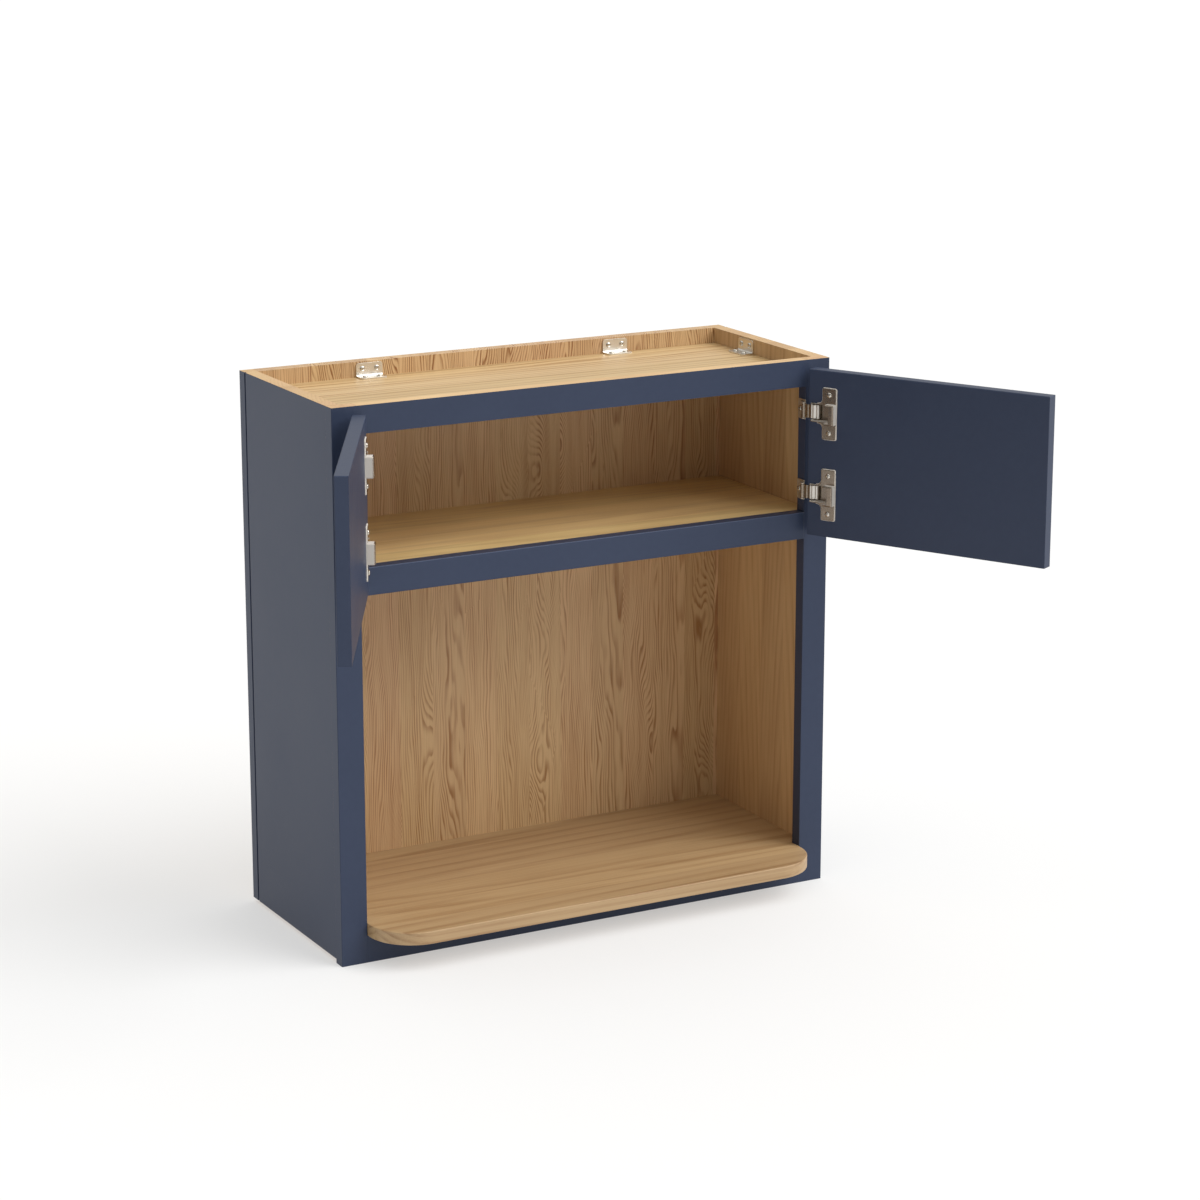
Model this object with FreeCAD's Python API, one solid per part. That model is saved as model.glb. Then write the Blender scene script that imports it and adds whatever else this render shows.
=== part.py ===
"""Microwave wall cabinet with a face frame, two cupboard doors and a floor board that reaches out as a tray.

Units are millimetres. X is the width, the wall is the plane Y = 0 and the front looks along -Y, Z is up.
The origin is on the wall, at the middle of the upper hanging rail. The doors are stored fully open.
"""
import FreeCAD, Part
import os

V = FreeCAD.Vector

# Overall sizes
CABINET_W = 762.0
BOX_H = 762.0
CABINET_D = 305.0
FRAME_DROP = 6.0

# Boards
SIDE_T = 19.0
TOP_T = 12.0
TOP_RECESS = 22.0
SHELF_T = 19.0
FLOOR_T = 18.0
BACK_T = 18.0
HANG_RAIL_T = 19.0
HANG_RAIL_H = 76.0
DADO_DEPTH = 6.0
DADO_FIT = 0.1
FLOOR_TONGUE_T = 12.0
SCRIBE_FROM_WALL = 17.0
SCRIBE_W = 4.0
SCRIBE_DEPTH = 2.0

# Face frame
FRAME_T = 19.0
STILE_W = 38.0
TOP_RAIL_H = 38.0
MIDDLE_RAIL_H = 38.0
BOTTOM_RAIL_H = 38.0
UPPER_OPENING_H = 180.0
FRAME_EDGE_R = 1.0
DOWEL_D = 8.0
DOWEL_L = 40.0
DOWEL_SPACING = 20.0
DOWEL_FIT = 0.05

# Tray, the part of the floor board in front of the frame
TRAY_REACH = 70.0
TRAY_CORNER_R = 66.0
TRAY_SIDE_GAP = 0.5
TRAY_EDGE_R = 1.5

# Doors
DOOR_T = 18.0
DOOR_SIDE_OVERLAY = 27.0
DOOR_END_OVERLAY = 28.0
DOOR_FRAME_GAP = 3.0
DOOR_MEETING_GAP = 3.0
DOOR_EDGE_R = 1.2
DOOR_SWING = 118.0

# Hinges: a frame arm, a cranked link and a housing let into the door
HINGE_SPACING = 115.0
LINK_SWING = 38.0
ARM_PIN_INSET = 5.0
ARM_PIN_FORWARD = 2.5
DOOR_PIN_FROM_EDGE = 11.0
DOOR_PIN_DEPTH = 7.0
KNEE_FROM_EDGE = 16.9
KNEE_DEPTH = 7.9
PIN_D = 3.0
PIN_RUNNING_FIT = 0.08
PIN_SEAT_FIT = 0.02
KNUCKLE_R = 3.0
LINK_T = 2.2
LINK_H = 19.0
LINK_RIB_R = 1.7
LINK_RIB_SHARES = (0.46, 0.80)
EAR_T = 1.5
EAR_GAP = 0.5
EAR_ROOT = 13.0
ARM_T = 1.5
ARM_H = 28.0
ARM_CORNER_R = 3.0
ARM_EDGE_SETBACK = 1.5
ARM_SCREW_BACK = 12.5
HOUSING_FROM_EDGE = 4.0
HOUSING_L = 34.0
HOUSING_H = 26.0
HOUSING_DEPTH = 12.0
HOUSING_WALL = 1.0
HOUSING_FIT = 0.1
GAIN_DEPTH = 6.0
GAIN_H = 21.0
FLANGE_T = 2.0
FLANGE_L = 41.0
FLANGE_EDGE_R = 1.5
WING_FROM_EDGE = 22.0
WING_H = 74.0
WING_CORNER_R = 3.0
NECK_FILLET_R = 6.5
NECK_LIP = 1.5
COVER_L = 15.5
COVER_RISE = 12.0
COVER_EDGE_R = 2.0
WING_SCREW_SPACING = 54.0

# Angle brackets in the recess on top
BRACKET_W = 40.0
BRACKET_LEG = 20.0
BRACKET_T = 2.0
BRACKET_CORNER_R = 4.0
BRACKET_SCREW_SPACING = 22.0
REAR_BRACKET_X = 195.0
SIDE_BRACKET_FROM_WALL = 112.0

# Pan head wood screws
SCREW_D = 3.6
SCREW_FIT = 0.05
SCREW_L = 11.0
SCREW_HEAD_D = 7.4
SCREW_HEAD_H = 2.0
SCREW_HEAD_RIM_H = 0.7
SCREW_HEAD_CROWN_D = 1.8
SCREW_HEAD_BULGE = 0.33

# How close two planes or directions are when they count as the same
TOUCH = 1e-6
PARALLEL = 0.999

# Levels and planes that follow from the sizes
Z_TOP = HANG_RAIL_H / 2
Z_BOX = Z_TOP - BOX_H
Z_FRAME = Z_BOX - FRAME_DROP
Z_TOP_PANEL = Z_TOP - TOP_RECESS
Z_FLOOR_UNDER = Z_FRAME + BOTTOM_RAIL_H
Z_UPPER_HIGH = Z_TOP - TOP_RAIL_H
Z_UPPER_LOW = Z_UPPER_HIGH - UPPER_OPENING_H
Z_LOWER_HIGH = Z_UPPER_LOW - MIDDLE_RAIL_H
X_OUT = CABINET_W / 2
X_WALL = X_OUT - SIDE_T
X_OPEN = X_OUT - STILE_W
Y_RAIL = -HANG_RAIL_T
Y_BACK = Y_RAIL - BACK_T
Y_FRONT = -CABINET_D
Y_FRAME_BACK = Y_FRONT + FRAME_T
Y_DOOR = Y_FRONT - DOOR_FRAME_GAP
X_DOOR = X_OPEN + DOOR_SIDE_OVERLAY
Z_DOOR_LOW = Z_UPPER_LOW - DOOR_END_OVERLAY
Z_DOOR_HIGH = Z_UPPER_HIGH + DOOR_END_OVERLAY
Z_DOOR_MIDDLE = (Z_DOOR_LOW + Z_DOOR_HIGH) / 2
ARM_PIN = V(X_OPEN - ARM_PIN_INSET, Y_FRONT - ARM_PIN_FORWARD, 0)
DOOR_PIN = V(X_DOOR - DOOR_PIN_FROM_EDGE, Y_DOOR - DOOR_PIN_DEPTH, 0)
KNEE = V(X_DOOR - KNEE_FROM_EDGE, Y_DOOR - KNEE_DEPTH, 0)
HINGE_LEVELS = {
    "upper": Z_DOOR_MIDDLE + HINGE_SPACING / 2,
    "lower": Z_DOOR_MIDDLE - HINGE_SPACING / 2,
}


def block(x_pair, y_pair, z_pair):
    """Box between pairs of planes."""
    x_low, x_high = sorted(x_pair)
    y_low, y_high = sorted(y_pair)
    z_low, z_high = sorted(z_pair)
    return Part.makeBox(x_high - x_low, y_high - y_low, z_high - z_low, V(x_low, y_low, z_low))


def eased(shape, radius, picks):
    """Round the straight edges of a shape that a test picks."""
    edges = [edge for edge in shape.Edges if picks(edge)]
    return shape.makeFillet(radius, edges)


def runs_along(edge, axis):
    """Whether a straight edge runs along an axis."""
    span = edge.Vertexes[-1].Point - edge.Vertexes[0].Point
    return span.Length > 0 and abs(span.dot(axis)) > PARALLEL * span.Length


def prism(points, z_low, z_high):
    """Upright prism over a closed plan outline of straight runs."""
    corners = [V(point.x, point.y, z_low) for point in points]
    face = Part.Face(Part.makePolygon(corners + corners[:1]))
    return face.extrude(V(0, 0, z_high - z_low))


def disc(centre, radius, z_low, z_high):
    """Upright cylinder about a plan point."""
    return Part.makeCylinder(radius, z_high - z_low, V(centre.x, centre.y, z_low))


def strap(start, end, thickness, z_low, z_high):
    """Flat strap on edge between two plan points."""
    along = (end - start).normalize()
    side = V(-along.y, along.x, 0) * (thickness / 2)
    return prism([start + side, end + side, end - side, start - side], z_low, z_high)


def screw(seat, out, pilot=False):
    """Pan head screw with its head on a seat, or the pilot hole that its shank needs.

    The shank runs from the seat against the direction out.
    """
    shank_r = SCREW_D / 2
    if pilot:
        return Part.makeCylinder(shank_r + SCREW_FIT, SCREW_L, seat, out * -1)
    head_r = SCREW_HEAD_D / 2
    crown = V(SCREW_HEAD_CROWN_D / 2, 0, SCREW_HEAD_H)
    shoulder = V(head_r, 0, SCREW_HEAD_RIM_H)
    chord = crown - shoulder
    outward = V(chord.z, 0, -chord.x).normalize()
    through = (shoulder + crown) * 0.5 + outward * SCREW_HEAD_BULGE
    outline = Part.Wire([
        Part.makeLine(V(0, 0, -SCREW_L), V(shank_r, 0, -SCREW_L + shank_r)),
        Part.makeLine(V(shank_r, 0, -SCREW_L + shank_r), V(shank_r, 0, 0)),
        Part.makeLine(V(shank_r, 0, 0), V(head_r, 0, 0)),
        Part.makeLine(V(head_r, 0, 0), shoulder),
        Part.Arc(shoulder, through, crown).toShape(),
        Part.makeLine(crown, V(0, 0, SCREW_HEAD_H)),
        Part.makeLine(V(0, 0, SCREW_HEAD_H), V(0, 0, -SCREW_L)),
    ])
    body = Part.Face(outline).revolve(V(0, 0, 0), V(0, 0, 1), 360)
    turned = FreeCAD.Placement(seat, FreeCAD.Rotation(V(0, 0, 1), out))
    return body.transformGeometry(turned.toMatrix())


def bored(shape, tools):
    """A shape with holes cut by a list of solids."""
    return shape.cut(Part.makeCompound(tools)) if tools else shape


def mirrored(shape):
    """The left-hand copy of a right-hand shape."""
    return shape.mirror(V(0, 0, 0), V(1, 0, 0))


def link_open(shape):
    """Turn a right-hand piece from closed to open with the hinge links."""
    turned = shape.copy()
    turned.rotate(ARM_PIN, V(0, 0, 1), -LINK_SWING)
    return turned


def door_open(shape):
    """Turn a right-hand piece from closed to open with the door."""
    turned = shape.copy()
    turned.rotate(DOOR_PIN, V(0, 0, 1), DOOR_SWING + LINK_SWING)
    return link_open(turned)


# Carcass boards

def dado(z_low, z_high, y_rear):
    """Groove in the right side's inner face for a board between two levels."""
    return block((X_WALL, X_WALL + DADO_DEPTH), (Y_FRAME_BACK, y_rear),
                 (z_low - DADO_FIT, z_high + DADO_FIT))


def right_side():
    """Right side with grooves for the boards and a scribe groove near the wall."""
    board = block((X_WALL, X_OUT), (Y_FRAME_BACK, 0), (Z_BOX, Z_TOP))
    scribe = block((X_OUT - SCRIBE_DEPTH, X_OUT),
                   (-SCRIBE_FROM_WALL - SCRIBE_W, -SCRIBE_FROM_WALL), (Z_BOX, Z_TOP))
    cuts = [
        dado(Z_TOP_PANEL - TOP_T, Z_TOP_PANEL, Y_RAIL),
        dado(Z_UPPER_LOW - SHELF_T, Z_UPPER_LOW, Y_BACK),
        dado(Z_FLOOR_UNDER, Z_FLOOR_UNDER + FLOOR_TONGUE_T, Y_BACK),
        scribe,
    ]
    return bored(board, cuts)


def cross_board(y_rear, z_low, z_high):
    """Board that runs across the box with its ends in the side grooves."""
    half = X_WALL + DADO_DEPTH - DADO_FIT
    return block((-half, half), (Y_FRAME_BACK, y_rear), (z_low, z_high))


def hanging_rail(z_low):
    """Rail between the sides that takes the wall screws."""
    return block((-X_WALL, X_WALL), (Y_RAIL, 0), (z_low, z_low + HANG_RAIL_H))


def floor_board():
    """Floor with a tongue at each end, which passes between the stiles and ends in a round tray."""
    z_low = Z_FLOOR_UNDER
    z_high = Z_FLOOR_UNDER + FLOOR_T
    half = X_OPEN - TRAY_SIDE_GAP
    tray = block((-half, half), (Y_FRONT - TRAY_REACH, Y_FRAME_BACK), (z_low, z_high))
    y_tip = Y_FRONT - TRAY_REACH

    def is_front_corner(edge):
        return runs_along(edge, V(0, 0, 1)) and abs(edge.Vertexes[0].Y - y_tip) < TOUCH

    tray = eased(tray, TRAY_CORNER_R, is_front_corner)
    shoulder = X_WALL - DADO_FIT
    tongues = cross_board(Y_BACK, z_low, z_low + FLOOR_TONGUE_T)
    inner = block((-shoulder, shoulder), (Y_FRAME_BACK, Y_BACK), (z_low, z_high))
    board = inner.fuse(tongues).fuse(tray).removeSplitter()

    def is_tray_rim(edge):
        box = edge.BoundBox
        return box.YMax < Y_FRONT + TOUCH or (box.YMin < Y_FRONT and box.ZLength < TOUCH)

    rim = [edge for edge in board.Edges if is_tray_rim(edge)]
    return board.makeFillet(TRAY_EDGE_R, rim)


# Face frame

def dowel(x_side, z, fit=0.0):
    """Dowel across the joint between a rail's end and a stile, or its bore with a fit around it."""
    start = V(x_side * X_OPEN - DOWEL_L / 2, Y_FRONT + FRAME_T / 2, z)
    return Part.makeCylinder(DOWEL_D / 2 + fit, DOWEL_L, start, V(1, 0, 0))


RAILS = {
    "top_rail": (Z_UPPER_HIGH, Z_TOP),
    "middle_rail": (Z_LOWER_HIGH, Z_UPPER_LOW),
    "bottom_rail": (Z_FRAME, Z_FLOOR_UNDER),
}


def dowel_levels(rail):
    """Heights of the two dowels at each end of a rail."""
    z_low, z_high = RAILS[rail]
    middle = (z_low + z_high) / 2
    return (middle - DOWEL_SPACING / 2, middle + DOWEL_SPACING / 2)


def frame_rail(rail):
    """Rail between the stiles with dowel bores in its ends."""
    board = block((-X_OPEN, X_OPEN), (Y_FRONT, Y_FRAME_BACK), RAILS[rail])
    return bored(board, [dowel(side, z, DOWEL_FIT) for side in (-1, 1) for z in dowel_levels(rail)])


def right_stile():
    """Right stile with its outer front edge eased, dowel bores and pilot holes for the hinge arms."""
    board = block((X_OPEN, X_OUT), (Y_FRONT, Y_FRAME_BACK), (Z_FRAME, Z_TOP))

    def is_outer_front(edge):
        start = edge.Vertexes[0]
        at_corner = abs(start.X - X_OUT) < TOUCH and abs(start.Y - Y_FRONT) < TOUCH
        return at_corner and runs_along(edge, V(0, 0, 1))

    board = eased(board, FRAME_EDGE_R, is_outer_front)
    bores = [dowel(1, z, DOWEL_FIT) for rail in RAILS for z in dowel_levels(rail)]
    pilots = [screw(arm_screw_seat(z), V(-1, 0, 0), pilot=True) for z in HINGE_LEVELS.values()]
    return bored(board, bores + pilots)


# Hinges, modelled at the right-hand door with the door closed

def arm_screw_seat(z):
    """Where the head of a frame arm's screw sits."""
    return V(X_OPEN - ARM_T, Y_FRONT + ARM_SCREW_BACK, z)


def frame_arm(z):
    """Plate on the stile's inner edge with two ears that hold the arm pin."""
    plate = block((X_OPEN - ARM_T, X_OPEN), (Y_FRONT, Y_FRAME_BACK - ARM_EDGE_SETBACK),
                  (z - ARM_H / 2, z + ARM_H / 2))

    def is_rear_corner(edge):
        return runs_along(edge, V(1, 0, 0)) and edge.Vertexes[0].Y > Y_FRONT + TOUCH

    arm = eased(plate, ARM_CORNER_R, is_rear_corner)
    x_plate = X_OPEN - ARM_T
    away = V(ARM_PIN.x - KNUCKLE_R, ARM_PIN.y, 0)
    root = [V(x_plate, Y_FRONT, 0), V(x_plate, Y_FRONT + EAR_ROOT, 0)]
    for side in (-1, 1):
        inner = z + side * (LINK_H / 2 + EAR_GAP)
        outer = inner + side * EAR_T
        z_low, z_high = sorted((inner, outer))
        web = prism([ARM_PIN + V(KNUCKLE_R, 0, 0)] + [root[0], root[1], away], z_low, z_high)
        arm = arm.fuse(web).fuse(disc(ARM_PIN, KNUCKLE_R, z_low, z_high))
    arm = arm.removeSplitter()
    reach = LINK_H / 2 + EAR_GAP + EAR_T
    pin_hole = disc(ARM_PIN, PIN_D / 2 + PIN_SEAT_FIT, z - reach, z + reach)
    return bored(arm, [pin_hole, screw(arm_screw_seat(z), V(-1, 0, 0), pilot=True)])


def arm_pin(z):
    """Pin through the ears of a frame arm."""
    reach = LINK_H / 2 + EAR_GAP + EAR_T
    return disc(ARM_PIN, PIN_D / 2, z - reach, z + reach)


def hinge_link(z):
    """Cranked link from the arm pin to the door pin, with ribs on the side that shows when open."""
    z_low = z - LINK_H / 2
    z_high = z + LINK_H / 2
    link = strap(ARM_PIN, KNEE, LINK_T, z_low, z_high)
    link = link.fuse(disc(KNEE, LINK_T / 2, z_low, z_high))
    link = link.fuse(strap(KNEE, DOOR_PIN, LINK_T, z_low, z_high))
    along = KNEE - ARM_PIN
    aside = V(along.y, -along.x, 0).normalize() * (LINK_RIB_R - LINK_T / 2)
    for share in LINK_RIB_SHARES:
        link = link.fuse(disc(ARM_PIN + along * share + aside, LINK_RIB_R, z_low, z_high))
    holes = []
    for pin in (ARM_PIN, DOOR_PIN):
        link = link.fuse(disc(pin, KNUCKLE_R, z_low, z_high))
        holes.append(disc(pin, PIN_D / 2 + PIN_RUNNING_FIT, z_low, z_high))
    return bored(link.removeSplitter(), holes)


def door_pin(z):
    """Pin through the walls of a door housing."""
    return disc(DOOR_PIN, PIN_D / 2, z - HOUSING_H / 2, z + HOUSING_H / 2)


def from_edge(distance):
    """X of a point on the closed door, measured from its hinge edge."""
    return X_DOOR - distance


def gain(z):
    """Notch in the door's edge that lets the link swing clear."""
    return block((from_edge(0), from_edge(HOUSING_FROM_EDGE + HOUSING_WALL)),
                 (Y_DOOR - GAIN_DEPTH, Y_DOOR + FLANGE_T), (z - GAIN_H / 2, z + GAIN_H / 2))


def housing_pocket(z):
    """Pocket in the door's back for a housing."""
    near = HOUSING_FROM_EDGE - HOUSING_FIT
    far = HOUSING_FROM_EDGE + HOUSING_L + HOUSING_FIT
    return block((from_edge(near), from_edge(far)),
                 (Y_DOOR - HOUSING_DEPTH - HOUSING_FIT, Y_DOOR),
                 (z - HOUSING_H / 2 - HOUSING_FIT, z + HOUSING_H / 2 + HOUSING_FIT))


def wing_screw_seats(z):
    """Where the heads of a housing's two screws sit."""
    x = from_edge((WING_FROM_EDGE + HOUSING_FROM_EDGE + FLANGE_L) / 2)
    return [V(x, Y_DOOR + FLANGE_T, z + side * WING_SCREW_SPACING / 2) for side in (-1, 1)]


def rounded_plate(x_pair, y_pair, z_pair, radius):
    """Plate on the door's back with rounded corners."""
    plate = block(x_pair, y_pair, z_pair)
    return eased(plate, radius, lambda edge: runs_along(edge, V(0, 1, 0)))


def winged_flange(z):
    """Plate on the door's back: a tall wing that runs in two hollow curves to a neck round the trough."""
    far = from_edge(HOUSING_FROM_EDGE + FLANGE_L)
    y_top = Y_DOOR + FLANGE_T
    wing = rounded_plate((from_edge(WING_FROM_EDGE), far), (Y_DOOR, y_top),
                         (z - WING_H / 2, z + WING_H / 2), WING_CORNER_R)
    x_wing = from_edge(WING_FROM_EDGE)
    neck_half = HOUSING_H / 2 + NECK_LIP
    neck = block((x_wing - NECK_LIP, x_wing + NECK_FILLET_R + NECK_LIP), (Y_DOOR, y_top),
                 (z - neck_half, z + neck_half))

    def is_inner_corner(edge):
        start = edge.Vertexes[0]
        at_corner = abs(start.X - x_wing) < TOUCH and abs(abs(start.Z - z) - neck_half) < TOUCH
        return at_corner and runs_along(edge, V(0, 1, 0))

    plate = eased(wing.fuse(neck).removeSplitter(), NECK_FILLET_R, is_inner_corner)
    return eased(plate, FLANGE_EDGE_R, lambda edge: edge.BoundBox.YMin > y_top - TOUCH)


def door_housing(z):
    """Trough let into the door, its winged flange and the raised cover round the trough's far end."""
    far = from_edge(HOUSING_FROM_EDGE + FLANGE_L)
    trough = block((from_edge(HOUSING_FROM_EDGE), from_edge(HOUSING_FROM_EDGE + HOUSING_L)),
                   (Y_DOOR - HOUSING_DEPTH, Y_DOOR + FLANGE_T), (z - HOUSING_H / 2, z + HOUSING_H / 2))
    y_cover = Y_DOOR + COVER_RISE
    cover_half = HOUSING_H / 2 + NECK_LIP
    cover = block((far, far + COVER_L), (Y_DOOR, y_cover), (z - cover_half, z + cover_half))
    cover = eased(cover, COVER_EDGE_R, lambda edge: edge.BoundBox.YMax > Y_DOOR + TOUCH)
    housing = winged_flange(z).fuse(trough).fuse(cover).removeSplitter()
    inner_l = HOUSING_FROM_EDGE + HOUSING_L - HOUSING_WALL
    mouth = block((from_edge(HOUSING_FROM_EDGE + HOUSING_WALL), from_edge(inner_l)),
                  (Y_DOOR - HOUSING_DEPTH + HOUSING_WALL, y_cover),
                  (z - HOUSING_H / 2 + HOUSING_WALL, z + HOUSING_H / 2 - HOUSING_WALL))
    pin_hole = disc(DOOR_PIN, PIN_D / 2 + PIN_SEAT_FIT, z - HOUSING_H / 2, z + HOUSING_H / 2)
    pilots = [screw(seat, V(0, 1, 0), pilot=True) for seat in wing_screw_seats(z)]
    return bored(housing, [mouth, gain(z), pin_hole] + pilots)


def right_door():
    """Slab door with eased edges, pockets for the housings and pilot holes for their screws."""
    slab = block((DOOR_MEETING_GAP / 2, X_DOOR), (Y_DOOR - DOOR_T, Y_DOOR), (Z_DOOR_LOW, Z_DOOR_HIGH))

    def is_front_edge(edge):
        return edge.BoundBox.YMax < Y_DOOR - DOOR_T + TOUCH

    slab = eased(slab, DOOR_EDGE_R, is_front_edge)
    cuts = []
    for z in HINGE_LEVELS.values():
        cuts += [housing_pocket(z), gain(z)]
        cuts += [screw(seat, V(0, 1, 0), pilot=True) for seat in wing_screw_seats(z)]
    return bored(slab, cuts)


# Angle brackets, modelled at the origin and then placed

def angle_bracket():
    """Bent plate with one leg against a wall at Y = 0 and one on the floor at Z = 0."""
    half = BRACKET_W / 2
    upright = block((-half, half), (-BRACKET_T, 0), (0, BRACKET_LEG))
    foot = block((-half, half), (-BRACKET_LEG, 0), (0, BRACKET_T))

    def is_upper_corner(edge):
        return runs_along(edge, V(0, 1, 0)) and edge.Vertexes[0].Z > BRACKET_LEG - TOUCH

    def is_outer_corner(edge):
        return runs_along(edge, V(0, 0, 1)) and edge.Vertexes[0].Y < -BRACKET_LEG + TOUCH

    upright = eased(upright, BRACKET_CORNER_R, is_upper_corner)
    foot = eased(foot, BRACKET_CORNER_R, is_outer_corner)
    bracket = upright.fuse(foot).removeSplitter()

    def is_inner_bend(edge):
        box = edge.BoundBox
        off_bend = abs(box.YMin + BRACKET_T) + abs(box.ZMin - BRACKET_T)
        return runs_along(edge, V(1, 0, 0)) and off_bend < TOUCH

    bracket = eased(bracket, BRACKET_T, is_inner_bend)
    return bored(bracket, bracket_screws(pilot=True))


def bracket_screws(pilot=False):
    """The four screws of a bracket, or their holes."""
    reach = BRACKET_LEG / 2 + BRACKET_T
    screws = []
    for x in (-BRACKET_SCREW_SPACING / 2, BRACKET_SCREW_SPACING / 2):
        screws.append(screw(V(x, -BRACKET_T, reach), V(0, -1, 0), pilot))
        screws.append(screw(V(x, -reach, BRACKET_T), V(0, 0, 1), pilot))
    return screws


BRACKET_PLACES = {
    "rear_left_bracket": (V(-REAR_BRACKET_X, Y_RAIL, Z_TOP_PANEL), 0),
    "rear_right_bracket": (V(REAR_BRACKET_X, Y_RAIL, Z_TOP_PANEL), 0),
    "left_side_bracket": (V(-X_WALL, -SIDE_BRACKET_FROM_WALL, Z_TOP_PANEL), 90),
    "right_side_bracket": (V(X_WALL, -SIDE_BRACKET_FROM_WALL, Z_TOP_PANEL), -90),
}


def placed(shape, name):
    """A bracket piece moved to its place in the recess."""
    spot, turn = BRACKET_PLACES[name]
    moved = shape.copy()
    moved.rotate(V(0, 0, 0), V(0, 0, 1), turn)
    moved.translate(spot)
    return moved


def all_bracket_screws(pilot=False):
    """Every bracket screw in place, or every pilot hole."""
    return [placed(one, name) for name in BRACKET_PLACES for one in bracket_screws(pilot)]


# The whole cabinet

def build():
    """Name every piece and its solid, with the doors open."""
    pilots = all_bracket_screws(pilot=True)
    side = right_side()
    stile = right_stile()
    nodes = {
        "left_side": bored(mirrored(side), pilots),
        "right_side": bored(side, pilots),
        "top_panel": bored(cross_board(Y_RAIL, Z_TOP_PANEL - TOP_T, Z_TOP_PANEL), pilots),
        "cupboard_shelf": cross_board(Y_BACK, Z_UPPER_LOW - SHELF_T, Z_UPPER_LOW),
        "floor_board": floor_board(),
        "back_panel": block((-X_WALL, X_WALL), (Y_BACK, Y_RAIL), (Z_BOX, Z_TOP_PANEL - TOP_T)),
        "upper_hanging_rail": bored(hanging_rail(Z_TOP - HANG_RAIL_H), pilots),
        "lower_hanging_rail": hanging_rail(Z_BOX),
        "left_stile": mirrored(stile),
        "right_stile": stile,
        "frame_dowels": Part.makeCompound([
            dowel(x_side, z) for x_side in (-1, 1) for rail in RAILS for z in dowel_levels(rail)]),
        "bracket_screws": Part.makeCompound(all_bracket_screws()),
    }
    for rail in RAILS:
        nodes[rail] = frame_rail(rail)
    for name in BRACKET_PLACES:
        nodes[name] = placed(angle_bracket(), name)
    hands = {"left": mirrored, "right": lambda shape: shape}
    levels = HINGE_LEVELS.values()
    wing_seats = [seat for z in levels for seat in wing_screw_seats(z)]
    for hand, to_hand in hands.items():
        nodes[f"{hand}_door"] = to_hand(door_open(right_door()))
        for place, z in HINGE_LEVELS.items():
            nodes[f"{hand}_{place}_hinge_arm"] = to_hand(frame_arm(z))
            nodes[f"{hand}_{place}_hinge_link"] = to_hand(link_open(hinge_link(z)))
            nodes[f"{hand}_{place}_hinge_housing"] = to_hand(door_open(door_housing(z)))
        groups = {
            "arm_pins": [arm_pin(z) for z in levels],
            "arm_screws": [screw(arm_screw_seat(z), V(-1, 0, 0)) for z in levels],
            "door_pins": [door_open(door_pin(z)) for z in levels],
            "housing_screws": [door_open(screw(seat, V(0, 1, 0))) for seat in wing_seats],
        }
        for group, solids in groups.items():
            nodes[f"{hand}_{group}"] = Part.makeCompound([to_hand(solid) for solid in solids])
    return nodes


os.makedirs("parts", exist_ok=True)
for node, solid in build().items():
    solid.exportStep(f"parts/{node}.step")
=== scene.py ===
"""Studio look of a microwave wall cabinet with a lacquered face frame and clear finished pine inside.

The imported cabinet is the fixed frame. Its boards and hinges keep their shapes and get their finishes here.
The screws get modelled heads with cross recesses, and a pale floor, soft light and the camera are set round
them. Lengths are metres unless a name says millimetres.
"""

import logging
import math
from dataclasses import dataclass, field, replace
from enum import Enum

import bmesh
import bpy
from mathutils import Matrix, Vector


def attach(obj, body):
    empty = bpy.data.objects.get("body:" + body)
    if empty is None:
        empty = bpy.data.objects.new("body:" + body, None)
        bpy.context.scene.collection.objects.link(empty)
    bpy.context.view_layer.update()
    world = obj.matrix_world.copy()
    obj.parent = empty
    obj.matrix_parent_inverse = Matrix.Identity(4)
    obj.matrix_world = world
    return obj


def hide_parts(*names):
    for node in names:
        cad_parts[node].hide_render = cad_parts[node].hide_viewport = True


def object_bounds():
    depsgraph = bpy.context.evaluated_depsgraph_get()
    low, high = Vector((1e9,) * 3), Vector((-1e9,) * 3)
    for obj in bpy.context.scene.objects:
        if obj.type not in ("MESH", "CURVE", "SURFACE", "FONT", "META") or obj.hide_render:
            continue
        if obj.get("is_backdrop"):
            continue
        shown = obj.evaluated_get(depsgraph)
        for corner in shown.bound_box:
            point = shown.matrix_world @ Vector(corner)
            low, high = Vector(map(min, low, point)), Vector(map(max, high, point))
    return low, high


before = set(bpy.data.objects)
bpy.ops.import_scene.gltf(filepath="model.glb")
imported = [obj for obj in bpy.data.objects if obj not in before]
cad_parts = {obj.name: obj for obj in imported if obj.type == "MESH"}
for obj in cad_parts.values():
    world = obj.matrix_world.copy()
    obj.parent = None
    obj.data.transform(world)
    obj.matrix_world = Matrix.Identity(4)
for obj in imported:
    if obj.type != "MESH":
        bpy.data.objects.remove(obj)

Socket = bpy.types.NodeSocket

LOG = logging.getLogger("cabinet")
MM = 0.001
PLACES = ("upper", "lower")
PINS = ("arm_pins", "door_pins")


class Hand(Enum):
    """A side of the cabinet, by the word that its nodes' names start with."""

    LEFT = "left"
    RIGHT = "right"

    @property
    def way(self) -> float:
        """Says which way along the width this side lies."""
        return 1.0 if self is Hand.RIGHT else -1.0


class Axis(Enum):
    """A direction of the cabinet, by its place in a vector."""

    WIDTH = 0
    DEPTH = 1
    HEIGHT = 2


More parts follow.
